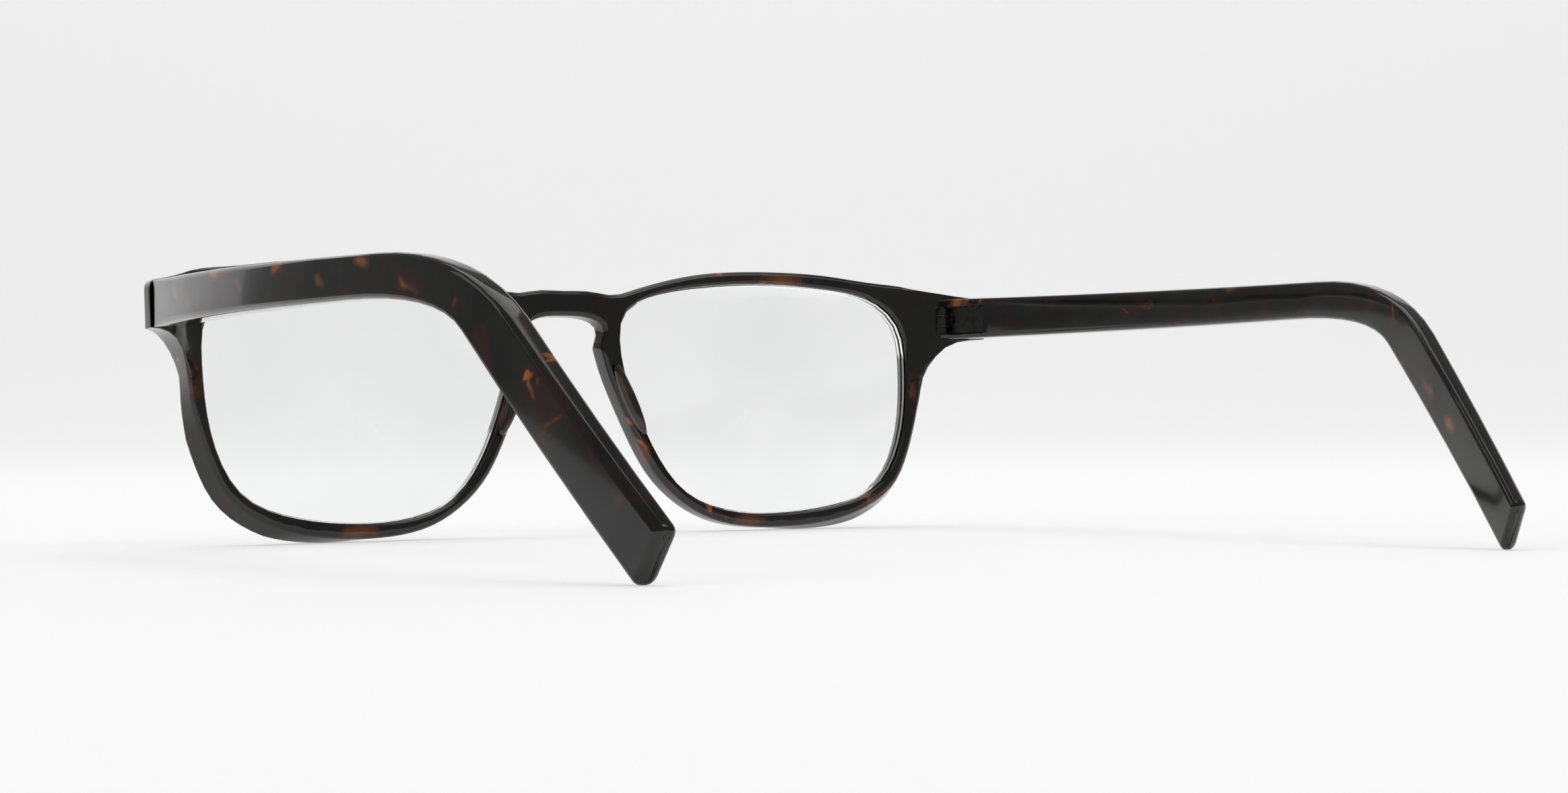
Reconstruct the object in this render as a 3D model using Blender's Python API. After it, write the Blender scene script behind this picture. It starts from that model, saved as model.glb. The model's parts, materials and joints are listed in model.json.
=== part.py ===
"""Eyeglasses frame: an acetate front with two lenses and two folding temples.

Each physical piece is one named object. Lengths are in metres, +Z is up, the wearer looks along -Y
and +X is the wearer's left. The frame stands on the bottoms of its rims and the tips of its temples.
"""

import math

import bmesh
import bpy
import numpy as np
from mathutils import Matrix, Vector
from mathutils.geometry import delaunay_2d_cdt

MM = 0.001

# Lens openings and the bridge between them
LENS_WIDTH = 50.7 * MM
LENS_HEIGHT = 36.4 * MM
BRIDGE_GAP = 18.2 * MM
BRIDGE_HEIGHT = 3.9 * MM
BRIDGE_DROP = 3.7 * MM
KEYHOLE_HALF_WIDTH = 6.5 * MM
LENS_CENTRE_DROP = 15.1 * MM

# Rims around the openings
RIM_TOP = 2.1 * MM
RIM_BOTTOM = 2.1 * MM
RIM_NASAL = 2.2 * MM
RIM_TEMPORAL = 2.6 * MM

# The front as a sheet: a shallow arc over the rims, with thicker end pieces that turn back to the temples
FRONT_THICKNESS = 3.8 * MM
JOINT_HALF_WIDTH = BRIDGE_GAP / 2 + LENS_WIDTH + 9.7 * MM
FRONT_HALF_WIDTH = JOINT_HALF_WIDTH + 0.4 * MM
FACE_RADIUS = 420.0 * MM
BRIDGE_SETBACK = 11.5 * MM
MITRE_ANGLE = math.radians(37.0)
MITRE_WIDTH = 5.1 * MM
REAR_TURN_START = BRIDGE_GAP / 2 + LENS_WIDTH + 1.4 * MM
FORE_TURN_START = REAR_TURN_START + 1.6 * MM
FORE_TURN_SLOPE = 1.35
END_WALL_DEPTH = 2.5 * MM
LOWER_FLARE = 1.2 * MM
FRONT_LEAN = math.radians(4.3)
FRONT_EDGE_ROUND = 0.8 * MM
OPENING_EDGE_ROUND = 0.5 * MM
JOINT_EDGE_ROUND = 0.15 * MM
END_TOP_ROUND = 1.3 * MM
END_OVERHANG = 0.1 * MM

# Lenses
LENS_THICKNESS = 2.0 * MM
LENS_BULGE = 1.2 * MM
LENS_SHOULDER_GAP = 0.2 * MM
RIDGE_HEIGHT = 0.7 * MM
GROOVE_CLEARANCE = 0.25 * MM

# Temples
JOINT_GAP = 0.3 * MM
JOINT_BEVEL = 0.22 * MM
TEMPLE_STRAIGHT = 95.0 * MM
TEMPLE_DROP_LENGTH = 41.3 * MM
TEMPLE_DROP_ANGLE = math.radians(45.3)
TEMPLE_HEIGHT_JOINT = 6.4 * MM
TEMPLE_HEIGHT_BEND = 4.7 * MM
TEMPLE_HEIGHT_TIP = 6.6 * MM
TEMPLE_THICK_JOINT = 5.0 * MM
TEMPLE_THICK_TIP = 2.6 * MM
TEMPLE_FALL = math.radians(0.75)
TEMPLE_SPLAY = math.radians(9.1)
TEMPLE_BOW_START = 12.0 * MM
TEMPLE_BOW_RADIUS = 226.0 * MM
TEMPLE_EDGE_ROUND = 0.9 * MM
TEMPLE_TIP_ROUND = 0.8 * MM
TIP_CUT_ANGLE = math.radians(17.0)
BEND_TOP_RUN = (16.0 * MM, 11.0 * MM)
BEND_BOTTOM_RUN = (18.0 * MM, 6.0 * MM)

# Hinges
PIN_INSET = 0.5 * MM
PIN_BEHIND = 0.66 * MM
PIN_DROP = 0.25 * MM
KNUCKLE_RADIUS = 1.1 * MM
OUTER_KNUCKLE_HEIGHT = 0.9 * MM
MIDDLE_KNUCKLE_HEIGHT = 1.2 * MM
WASHER_RADIUS = 1.0 * MM
WASHER_THICKNESS = 0.25 * MM
WASHER_GAP = 0.1 * MM
SCREW_RADIUS = 0.5 * MM
SCREW_GAP = 0.08 * MM
SCREW_HEAD_RADIUS = 0.8 * MM
SCREW_HEAD_HEIGHT = 0.35 * MM
LEAF_THICKNESS = 0.8 * MM
LEAF_HEIGHT = 4.1 * MM
LEAF_RECESS = 0.3 * MM
FRONT_LEAF_LENGTH = 4.6 * MM
TEMPLE_LEAF_LENGTH = 7.0 * MM
TOOTH_DEPTH = 0.5 * MM
TOOTH_WIDTH = 0.6 * MM
POCKET_GAP = 0.2 * MM
NOTCH_GAP = 0.32 * MM
TEMPLE_LEAF_RECESS = 0.1 * MM
TOOTH_SHARES = (0.3, 0.55, 0.8)

# Core wires
CORE_RADIUS = 0.6 * MM
CORE_CLEARANCE = 0.25 * MM
CORE_SHARE = 0.58
CORE_TIP_MARGIN = 8.0 * MM
CORE_END_SETBACK = 0.4 * MM

# Nose pads
PAD_START = 3.1375 * MM
PAD_LENGTH = 12.0 * MM
PAD_WIDTH = 2.0 * MM
PAD_DEPTH = 1.2 * MM
PAD_GLUE_GAP = 0.3 * MM
PAD_EDGE_INSET = 0.25 * MM

# Shape of a lens opening, going round from the temporal side, in half-widths and half-heights
OPENING_SHAPE = [
    (1.0, 0.25), (0.96, 0.64), (0.815, 0.84), (0.5, 0.953), (0.0, 1.0), (-0.42, 0.967),
    (-0.78, 0.87), (-0.957, 0.72), (-0.995, 0.44), (-0.91, -0.05), (-0.785, -0.45),
    (-0.575, -0.81), (-0.3, -0.965), (0.08, -1.0), (0.46, -0.945), (0.78, -0.76), (0.93, -0.42),
]
# Brow line from above the nose to above the end piece, and rim from the end piece to the keyhole,
# in half-widths and half-heights of the opening with its rim
BROW_SHAPE = [
    (-0.815, 0.833), (-0.633, 0.901), (-0.379, 0.966), (-0.125, 0.99), (0.163, 0.99), (0.449, 0.963),
    (0.735, 0.911), (0.95, 0.869), (1.057, 0.818),
]
LOWER_RIM_SHAPE = [
    (1.004, 0.172), (0.982, 0.005), (0.943, -0.222), (0.882, -0.473), (0.792, -0.695), (0.649, -0.845),
    (0.431, -0.953), (0.163, -1.0), (-0.125, -0.995), (-0.379, -0.926), (-0.561, -0.793), (-0.731, -0.567),
    (-0.84, -0.31), (-0.946, 0.01), (-1.011, 0.246),
]

OPENING_SAMPLES = 60
OUTLINE_SPACING = 1.9 * MM
ROUND_STEPS = 3


# ---------------------------------------------------------------- curves


def spline(points, samples, closed=False):
    """Cubic spline through the points by chord length, sampled evenly along its length."""
    knots = np.array(points, float)
    if closed:
        knots = np.vstack([knots[-3:], knots, knots[:4]])
    steps = np.hypot(*np.diff(knots, axis=0).T)
    places = np.concatenate([[0.0], np.cumsum(steps)])
    count = len(knots)
    system = np.zeros((count, count))
    right = np.zeros((count, 2))
    system[0, 0] = system[-1, -1] = 1.0
    for i in range(1, count - 1):
        system[i, i - 1 : i + 2] = steps[i - 1], 2 * (steps[i - 1] + steps[i]), steps[i]
        right[i] = 6 * ((knots[i + 1] - knots[i]) / steps[i] - (knots[i] - knots[i - 1]) / steps[i - 1])
    bends = np.linalg.solve(system, right)

    def at(place):
        i = int(np.clip(np.searchsorted(places, place) - 1, 0, count - 2))
        h = steps[i]
        a = (places[i + 1] - place) / h
        b = (place - places[i]) / h
        pull = ((a**3 - a) * bends[i] + (b**3 - b) * bends[i + 1]) * h * h / 6
        return a * knots[i] + b * knots[i + 1] + pull

    first, last = (places[3], places[-4]) if closed else (places[0], places[-1])
    fine = np.array([at(place) for place in np.linspace(first, last, 12 * count)])
    return resample(fine, samples, closed)


def resample(line, samples, closed=False):
    """Points spaced evenly along a polyline. A closed one leaves out its repeated last point."""
    lengths = np.concatenate([[0.0], np.cumsum(np.hypot(*np.diff(line, axis=0).T))])
    wanted = np.linspace(0.0, lengths[-1], samples + 1 if closed else samples)
    even = np.column_stack([np.interp(wanted, lengths, line[:, k]) for k in (0, 1)])
    return even[:-1] if closed else even


def outward_normals(loop):
    """Unit normals of a closed counter-clockwise loop, pointing out of it."""
    along = np.roll(loop, -1, axis=0) - np.roll(loop, 1, axis=0)
    normals = np.column_stack([along[:, 1], -along[:, 0]])
    return normals / np.linalg.norm(normals, axis=1)[:, None]


def counter_clockwise(loop):
    x, y = loop.T
    area = np.sum(x * np.roll(y, -1) - y * np.roll(x, -1))
    return loop if area > 0 else loop[::-1]


def inside(point, loop):
    """Whether a point lies in a closed loop, by counting crossings."""
    x, y = point
    found = False
    for (x1, y1), (x2, y2) in zip(loop, np.roll(loop, -1, axis=0)):
        if (y1 > y) != (y2 > y) and x < x1 + (y - y1) / (y2 - y1) * (x2 - x1):
            found = not found
    return found


# ---------------------------------------------------------------- front in its flat pattern

LENS_CENTRE = BRIDGE_GAP / 2 + LENS_WIDTH / 2


def opening_loop(grow=0.0, samples=OPENING_SAMPLES):
    """The left opening's outline in the pattern, grown outwards."""
    half_width = LENS_WIDTH / 2
    half_height = LENS_HEIGHT / 2
    shape = [(LENS_CENTRE + p * half_width, -LENS_CENTRE_DROP + q * half_height) for p, q in OPENING_SHAPE]
    loop = counter_clockwise(spline(shape, samples, closed=True))
    return loop + grow * outward_normals(loop)


def rim_point(p, q):
    """A point of the left rim's outer edge, p across and q up, in half-sizes of the rim."""
    half_width = LENS_WIDTH / 2 + (RIM_TEMPORAL if p > 0 else RIM_NASAL)
    half_height = LENS_HEIGHT / 2 + (RIM_TOP if q > 0 else RIM_BOTTOM)
    return (LENS_CENTRE + p * half_width, -LENS_CENTRE_DROP + q * half_height)


def mirrored(points):
    return [(-x, z) for x, z in reversed(points)]


def top_edge():
    """From the right end piece over the bridge to the left end piece."""
    bridge_top = rim_point(0, 1)[1] - BRIDGE_DROP
    over_nose = [(BRIDGE_GAP * 0.27, bridge_top - 0.05 * MM), (BRIDGE_GAP * 0.46, bridge_top - 0.5 * MM)]
    brow = [rim_point(p, q) for p, q in BROW_SHAPE]
    brow_end = [(FRONT_HALF_WIDTH - 3.4 * MM, 0.75 * MM), (FRONT_HALF_WIDTH - END_TOP_ROUND, 0.25 * MM)]
    half = over_nose + brow + brow_end
    return mirrored(half) + [(0.0, bridge_top)] + half


def end_wall():
    """Down the left end piece, with its upper corner rounded."""
    centre = (FRONT_HALF_WIDTH - END_TOP_ROUND, 0.25 * MM - END_TOP_ROUND)
    turns = [math.radians(a) for a in (60, 30, 0)]
    corner = []
    for turn in turns:
        corner.append((centre[0] + END_TOP_ROUND * math.cos(turn), centre[1] + END_TOP_ROUND * math.sin(turn)))
    foot = -TEMPLE_HEIGHT_JOINT - END_OVERHANG
    middle = (FRONT_HALF_WIDTH, (centre[1] + foot) / 2)
    return corner + [middle, (FRONT_HALF_WIDTH, foot)]


def lower_edge():
    """From under the left end piece, round the rim, to the notch of the keyhole."""
    foot = -TEMPLE_HEIGHT_JOINT - END_OVERHANG
    end = [(FRONT_HALF_WIDTH, foot), (FRONT_HALF_WIDTH - 3.1 * MM, foot - 0.15 * MM)]
    end += [(FRONT_HALF_WIDTH - 5.2 * MM, foot - 1.15 * MM), (FRONT_HALF_WIDTH - 6.5 * MM, foot - 2.85 * MM)]
    notch = (KEYHOLE_HALF_WIDTH * 0.9, keyhole_top() - 4.75 * MM)
    return end + [rim_point(p, q) for p, q in LOWER_RIM_SHAPE] + [notch]


def keyhole_top():
    return rim_point(0, 1)[1] - BRIDGE_DROP - BRIDGE_HEIGHT


def keyhole():
    """From the left notch over the arch to the right notch."""
    wide = KEYHOLE_HALF_WIDTH
    top = keyhole_top()
    half = [(wide * 0.9, top - 4.75 * MM), (wide * 0.94, top - 3.7 * MM), (wide, top - 2.6 * MM)]
    half += [(wide * 0.96, top - 1.35 * MM), (wide * 0.79, top - 0.6 * MM), (wide * 0.45, top - 0.1 * MM)]
    return half + [(0.0, top)] + mirrored(half)


def samples_for(points):
    length = float(np.sum(np.hypot(*np.diff(np.array(points), axis=0).T)))
    return max(5, int(round(length / OUTLINE_SPACING)))


def front_outline():
    """The front's whole outline, counter-clockwise seen from the front's own +X, +Z axes."""
    left_to_right_top = spline(top_edge(), samples_for(top_edge()))
    wall = np.array(end_wall())
    lower = spline(lower_edge(), int(samples_for(lower_edge()) * 1.1))
    arch = spline(keyhole(), int(samples_for(keyhole()) * 1.8))
    other_lower = lower[::-1] * (-1, 1)
    other_wall = wall[::-1] * (-1, 1)
    pieces = [left_to_right_top[:-1], wall[:-1], lower[:-1], arch[:-1], other_lower[:-1], other_wall]
    return counter_clockwise(np.vstack(pieces))


# ---------------------------------------------------------------- front in space


def base_y(x):
    """The shallow arc of the rims' rear face."""
    return FACE_RADIUS - BRIDGE_SETBACK - math.sqrt(FACE_RADIUS**2 - x**2)


def blend(x, start, end):
    """Smooth curve between two places, each given as (x, y, slope)."""
    (x0, y0, m0), (x1, y1, m1) = start, end
    span = x1 - x0
    t = (x - x0) / span
    rise = y0 + (y1 - y0) * t * t * (3 - 2 * t)
    return rise + span * t * (1 - t) * (m0 * (1 - t) - m1 * t)


def rear_y(x):
    """How far back the front's rear surface lies at a distance x from the middle."""
    x = abs(x)
    if x <= REAR_TURN_START:
        return base_y(x)
    slope = math.tan(MITRE_ANGLE)
    mitre_start = JOINT_HALF_WIDTH - MITRE_WIDTH
    if x >= mitre_start:
        return (x - JOINT_HALF_WIDTH) * slope
    start = (REAR_TURN_START, base_y(REAR_TURN_START), REAR_TURN_START / FACE_RADIUS)
    return blend(x, start, (mitre_start, -MITRE_WIDTH * slope, slope))


def fore_y(x):
    """How far back the front's fore surface lies. It turns back more gently than the rear surface."""
    x = abs(x)
    if x <= FORE_TURN_START:
        return base_y(x) - FRONT_THICKNESS
    start = (FORE_TURN_START, base_y(FORE_TURN_START) - FRONT_THICKNESS, FORE_TURN_START / FACE_RADIUS)
    return blend(x, start, (FRONT_HALF_WIDTH, -END_WALL_DEPTH, FORE_TURN_SLOPE))


def sheet_depth(x):
    return rear_y(x) - fore_y(x)


def leaned(x, y, z):
    c, s = math.cos(FRONT_LEAN), math.sin(FRONT_LEAN)
    return Vector((x, y * c - z * s, y * s + z * c))


def front_point(x, z, depth):
    """Where a pattern point lies in space. Depth is a distance from the rear surface forwards."""
    return leaned(x, rear_y(x) - depth, z)


def ramp(value, start, end):
    return min(1.0, max(0.0, (value - start) / (end - start)))


def edge_round(x, z):
    """Rounding of the outline's rear edge, which turns crisp where the temple meets it."""
    crisp = ramp(abs(x), REAR_TURN_START - 3 * MM, JOINT_HALF_WIDTH - MITRE_WIDTH)
    crisp *= ramp(z, -2 * TEMPLE_HEIGHT_JOINT, -1.4 * TEMPLE_HEIGHT_JOINT)
    return FRONT_EDGE_ROUND + (JOINT_EDGE_ROUND - FRONT_EDGE_ROUND) * crisp


def flare(x, z):
    """How much wider the fore face is than the rear face. Only the lower temporal rims flare."""
    across = ramp(abs(x), LENS_CENTRE, LENS_CENTRE + 0.6 * LENS_WIDTH / 2)
    down = ramp(-z, LENS_CENTRE_DROP - 0.15 * LENS_HEIGHT / 2, LENS_CENTRE_DROP + 0.3 * LENS_HEIGHT / 2)
    return LOWER_FLARE * across * down


def wall_levels(outwards, loop):
    """Loops from the rear face, round its edge, down the wall and round the front edge.

    Outwards is 1 on the outline, whose material lies inside it, and -1 on an opening.
    """
    normals = outward_normals(loop)
    rear, front = [], []
    for step in range(ROUND_STEPS + 1):
        turn = math.pi / 2 * step / ROUND_STEPS
        inset, sink = 1 - math.sin(turn), 1 - math.cos(turn)
        rear.append([])
        front.append([])
        for (x, z), normal in zip(loop, normals):
            back_round = edge_round(x, z) if outwards > 0 else OPENING_EDGE_ROUND
            fore_round = FRONT_EDGE_ROUND if outwards > 0 else OPENING_EDGE_ROUND
            back = (x, z) - outwards * inset * back_round * normal
            spread = flare(x, z) if outwards > 0 else 0.0
            fore = (x, z) + (spread - outwards * inset * fore_round) * normal
            rear[-1].append((back, sink * back_round))
            front[-1].append((fore, sheet_depth(fore[0]) - sink * fore_round))
    return rear + front[::-1]


def sheet_triangles(outer, holes):
    """Triangles between an outline and its holes, with extra points where the sheet is bent."""
    loops = [outer, *holes]
    points = [tuple(p) for loop in loops for p in loop]
    edges = []
    first = 0
    for loop in loops:
        count = len(loop)
        edges += [(first + i, first + (i + 1) % count) for i in range(count)]
        first += count
    step = 1.2 * MM
    around = np.array(points)
    for side in (-1, 1):
        for i in range(int((FRONT_HALF_WIDTH - REAR_TURN_START) / step)):
            for j in range(-8, 4):
                place = (side * (REAR_TURN_START + (i + 0.5) * step), j * step)
                near = np.min(np.hypot(*(around - place).T))
                if near > 0.7 * step and inside(place, outer) and not any(inside(place, h) for h in holes):
                    points.append(place)
    flat = [Vector(p) / MM for p in points]
    _, _, faces, origins, _, _ = delaunay_2d_cdt(flat, edges, [], 1, 1e-6)
    triangles = []
    for face in faces:
        corners = [origins[v][0] for v in face]
        middle = sum(np.array(points[v]) for v in corners) / 3
        if not any(inside(middle, hole) for hole in holes):
            triangles.append(corners)
    return points, triangles


# ---------------------------------------------------------------- objects


def clear_scene():
    for obj in list(bpy.data.objects):
        bpy.data.objects.remove(obj, do_unlink=True)


def material(name, colour, roughness, metallic=0.0, alpha=1.0):
    made = bpy.data.materials.new(name)
    made.use_nodes = True
    shader = made.node_tree.nodes["Principled BSDF"]
    shader.inputs["Base Color"].default_value = (*colour, 1.0)
    shader.inputs["Roughness"].default_value = roughness
    shader.inputs["Metallic"].default_value = metallic
    shader.inputs["Alpha"].default_value = alpha
    return made


def finish_object(name, body, look, origin=Vector()):
    """Turns a bmesh in world places into an object with its origin at the given place."""
    bmesh.ops.recalc_face_normals(body, faces=body.faces)
    bmesh.ops.translate(body, verts=body.verts, vec=-origin)
    mesh = bpy.data.meshes.new(name)
    body.to_mesh(mesh)
    body.free()
    mesh.shade_smooth()
    mesh.set_sharp_from_angle(angle=math.radians(35))
    mesh.materials.append(look)
    obj = bpy.data.objects.new(name, mesh)
    obj.location = origin
    bpy.context.scene.collection.objects.link(obj)
    return obj


def combine(target, tool, operation):
    """Adds a Boolean to the target, and hides its tool."""
    tool.hide_render = True
    tool.display_type = "WIRE"
    step = target.modifiers.new(tool.name, "BOOLEAN")
    step.operation = operation
    step.object = tool
    step.solver = "EXACT"


def cut(target, tool):
    combine(target, tool, "DIFFERENCE")


def loft(rings, caps=True):
    """Skin through rings of equal counts, with flat caps."""
    body = bmesh.new()
    levels = [[body.verts.new(p) for p in ring] for ring in rings]
    for lower, upper in zip(levels, levels[1:]):
        for i in range(len(lower)):
            j = (i + 1) % len(lower)
            body.faces.new((lower[i], lower[j], upper[j], upper[i]))
    if caps:
        body.faces.new(levels[0][::-1])
        body.faces.new(levels[-1])
    return body


# ---------------------------------------------------------------- front


def build_front(look):
    """The acetate front: faces, rounded edges and walls as one skin."""
    outline = front_outline()
    hole = opening_loop()
    holes = [hole, counter_clockwise(hole * (-1, 1))]
    walls = [wall_levels(1, outline)] + [wall_levels(-1, h) for h in holes]
    body = bmesh.new()
    levels = []
    for wall in walls:
        rings = [[body.verts.new(front_point(p[0], p[1], depth)) for p, depth in level] for level in wall]
        for lower, upper in zip(rings, rings[1:]):
            for i in range(len(lower)):
                j = (i + 1) % len(lower)
                body.faces.new((lower[i], lower[j], upper[j], upper[i]))
        levels.append(rings)
    for which, is_rear in ((0, True), (-1, False)):
        loops = [np.array([p for p, _ in wall[which]]) for wall in walls]
        points, triangles = sheet_triangles(loops[0], loops[1:])
        corners = [v for rings in levels for v in rings[which]]
        for x, z in points[len(corners) :]:
            corners.append(body.verts.new(front_point(x, z, 0.0 if is_rear else sheet_depth(x))))
        for triangle in triangles:
            body.faces.new([corners[v] for v in triangle])
    return finish_object("frame_front", body, look)


# ---------------------------------------------------------------- lenses


def lens_body(side, clearance=0.0):
    """A lens with a ridge round its edge. With a clearance it is the tool that cuts the groove."""
    shoulder = opening_loop(-LENS_SHOULDER_GAP)
    ridge = opening_loop(RIDGE_HEIGHT + clearance)
    centre = np.array((LENS_CENTRE, -LENS_CENTRE_DROP))
    middle = FRONT_THICKNESS / 2
    half = LENS_THICKNESS / 2

    def ring(loop, share, offset):
        """A ring at a share of the way out from the centre. The lens bulges forwards inside it."""
        made = []
        for p in centre + share * (loop - centre):
            bulge = LENS_BULGE * (1 - share**2)
            made.append(front_point(side * p[0], p[1], middle + offset + bulge))
        return made

    shares = (0.15, 0.5, 0.8)
    rings = [ring(shoulder, share, -half) for share in shares]
    rings.append(ring(shoulder, 1.0, -half))
    rings.append(ring(shoulder, 1.0, -RIDGE_HEIGHT / 2 - clearance))
    rings.append(ring(ridge, 1.0, 0.0))
    rings.append(ring(shoulder, 1.0, RIDGE_HEIGHT / 2 + clearance))
    rings.append(ring(shoulder, 1.0, half))
    rings += [ring(shoulder, share, half) for share in reversed(shares)]
    return loft(rings)


# ---------------------------------------------------------------- temples


def quadratic(start, corner, end, samples):
    return [
        start * (1 - t) ** 2 + corner * (2 * t * (1 - t)) + end * t**2
        for t in (i / (samples - 1) for i in range(samples))
    ]


def temple_edges():
    """Upper and lower edge of the temple's side view, as (y, z) stations in step with each other."""
    fall = Matrix.Rotation(-TEMPLE_FALL, 2)
    along = Vector((math.cos(TEMPLE_DROP_ANGLE), -math.sin(TEMPLE_DROP_ANGLE)))
    across = Vector((-math.sin(TEMPLE_DROP_ANGLE), -math.cos(TEMPLE_DROP_ANGLE)))
    top_corner = Vector((TEMPLE_STRAIGHT, 0.0))
    rear_corner = top_corner + along * TEMPLE_DROP_LENGTH
    low_start = Vector((0.0, -TEMPLE_HEIGHT_JOINT))
    low_slope = (TEMPLE_HEIGHT_JOINT - TEMPLE_HEIGHT_BEND) / TEMPLE_STRAIGHT
    low_line = top_corner + across * TEMPLE_HEIGHT_TIP
    reach = (low_slope * low_line.x - low_line.y - TEMPLE_HEIGHT_JOINT) / (along.y - low_slope * along.x)
    low_corner = low_line + along * reach
    tip = rear_corner + across * TEMPLE_HEIGHT_TIP + along * (TEMPLE_HEIGHT_TIP * math.tan(TIP_CUT_ANGLE))
    low_along = (low_corner - low_start).normalized()
    upper, lower = [], []
    straight = (0.02, 0.05, 0.1, 0.18, 0.28, 0.4, 0.55, 0.72, 0.87, 1.0)
    upper_end = top_corner - Vector((BEND_TOP_RUN[0], 0.0))
    lower_end = low_corner - low_along * BEND_BOTTOM_RUN[0]
    for share in straight:
        upper.append(upper_end * share)
        lower.append(low_start + (lower_end - low_start) * share)
    bend = 9
    upper += quadratic(upper_end, top_corner, top_corner + along * BEND_TOP_RUN[1], bend)[1:]
    lower += quadratic(lower_end, low_corner, low_corner + along * BEND_BOTTOM_RUN[1], bend)[1:]
    upper_last, lower_last = upper[-1], lower[-1]
    for share in (0.25, 0.5, 0.75, 1.0):
        upper.append(upper_last + (rear_corner - upper_last) * share)
        lower.append(lower_last + (tip - lower_last) * share)
    return [fall @ p for p in upper], [fall @ p for p in lower]


def outer_face(y):
    """How far out the temple's outer face lies at y. It runs straight at first and then bows in."""
    bow = max(0.0, y - TEMPLE_BOW_START)
    return JOINT_HALF_WIDTH + y * math.tan(TEMPLE_SPLAY) - bow * bow / (2 * TEMPLE_BOW_RADIUS)


def temple_thickness(y):
    reach = TEMPLE_STRAIGHT + TEMPLE_DROP_LENGTH * math.cos(TEMPLE_DROP_ANGLE)
    share = min(1.0, max(0.0, y / reach))
    return TEMPLE_THICK_JOINT + (TEMPLE_THICK_TIP - TEMPLE_THICK_JOINT) * share


def joint_y(x, z, gap):
    """The y of the joint's mitred plane at a place, a gap behind the front's rear face."""
    flat = (x - JOINT_HALF_WIDTH) * math.tan(MITRE_ANGLE) + gap / math.cos(MITRE_ANGLE)
    return (flat - z * math.sin(FRONT_LEAN)) / math.cos(FRONT_LEAN)


def section(low, high, rounding, inset=0.0, joint_gap=None):
    """A rounded section of the temple between two points of its side view.

    With a joint gap it lies in a plane parallel to the front's mitred face.
    """
    up = (high - low).normalized()
    height = (high - low).length - 2 * inset
    start = low + up * inset
    ring = []
    for quarter in range(4):
        for step in range(ROUND_STEPS + 1):
            turn = math.pi / 2 * (quarter + step / ROUND_STEPS)
            right = quarter in (0, 3)
            above = quarter in (0, 1)
            y = (start + up * height / 2).x
            thick = temple_thickness(y) - 2 * inset
            across = (thick - rounding if right else rounding) + rounding * math.cos(turn)
            rise = (height - rounding if above else rounding) + rounding * math.sin(turn)
            place = start + up * rise
            if joint_gap is not None:
                y = 0.0
                for _ in range(6):
                    x = outer_face(y) - inset - thick + across
                    y = joint_y(x, place.y, joint_gap)
                place = Vector((y, place.y))
            else:
                x = outer_face(place.x) - inset - thick + across
            ring.append(Vector((x, place.x, place.y)))
    return ring


def temple_body(side):
    upper, lower = temple_edges()
    rings = []
    joint_low, joint_high = Vector((0.0, -TEMPLE_HEIGHT_JOINT)), Vector((0.0, 0.0))
    rings.append(section(joint_low, joint_high, JOINT_BEVEL, JOINT_BEVEL, JOINT_GAP))
    rings.append(section(joint_low, joint_high, 1.5 * JOINT_BEVEL, 0.0, JOINT_GAP + JOINT_BEVEL))
    for i, (low, high) in enumerate(zip(lower, upper)):
        growing = min(1.0, 0.4 + 0.2 * i)
        if i < len(upper) - 1:
            rings.append(section(low, high, TEMPLE_EDGE_ROUND * growing))
    along = (upper[-1] - upper[-2]).normalized()
    for step in range(ROUND_STEPS + 1):
        turn = math.pi / 2 * step / ROUND_STEPS
        back = along * TEMPLE_TIP_ROUND * (1 - math.sin(turn))
        inset = TEMPLE_TIP_ROUND * (1 - math.cos(turn))
        rings.append(section(lower[-1] - back, upper[-1] - back, TEMPLE_EDGE_ROUND, inset))
    return loft([[Vector((side * p.x, p.y, p.z)) for p in ring] for ring in rings])


def core_path():
    """The core wire's line inside the temple, from the joint to near the tip."""
    upper, lower = temple_edges()
    middles = [(low + high) / 2 for low, high in zip(lower, upper)]
    along = (middles[-1] - middles[-2]).normalized()
    middles = [p for p in middles[:-1]] + [middles[-1] - along * CORE_TIP_MARGIN]
    line = [(middles[0] - Vector((4 * MM, 0.0)))] + middles
    places = []
    for p in line:
        thick = temple_thickness(p.x)
        places.append(Vector((outer_face(p.x) - thick * (1 - CORE_SHARE), p.x, p.y)))
    return places


def tube(path, radius, sides=10):
    """A round bar along a path that lies nearly in one upright plane."""
    rings = []
    for i, place in enumerate(path):
        ahead = path[min(i + 1, len(path) - 1)] - path[max(i - 1, 0)]
        ahead.normalize()
        out = Vector((1.0, 0.0, 0.0))
        out = (out - ahead * out.dot(ahead)).normalized()
        up = out.cross(ahead)
        turns = [2 * math.pi * k / sides for k in range(sides)]
        rings.append([place + radius * (out * math.cos(a) + up * math.sin(a)) for a in turns])
    return loft(rings)


def core_body(side, radius, first_setback, last_extra):
    """The core wire, or with a larger radius the channel it lies in."""
    path = core_path()
    start_x = path[1].x
    start_y = joint_y(start_x, path[1].z, JOINT_GAP) + first_setback
    lead = Vector((outer_face(start_y) - temple_thickness(start_y) * (1 - CORE_SHARE), start_y, path[1].z))
    ending = path[-1] + (path[-1] - path[-2]).normalized() * last_extra
    line = [lead] + [p for p in path[1:-1] if p.y > start_y + 1 * MM] + [ending]
    return tube([Vector((side * p.x, p.y, p.z)) for p in line], radius)


# ---------------------------------------------------------------- hinges


def pin_place():
    """The left hinge's pin, at the temple's inner corner, halfway down its height."""
    inner_x = JOINT_HALF_WIDTH - TEMPLE_THICK_JOINT
    middle_z = -TEMPLE_HEIGHT_JOINT / 2 - PIN_DROP
    return Vector((inner_x - PIN_INSET, joint_y(inner_x, middle_z, JOINT_GAP) + PIN_BEHIND, middle_z))


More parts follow.
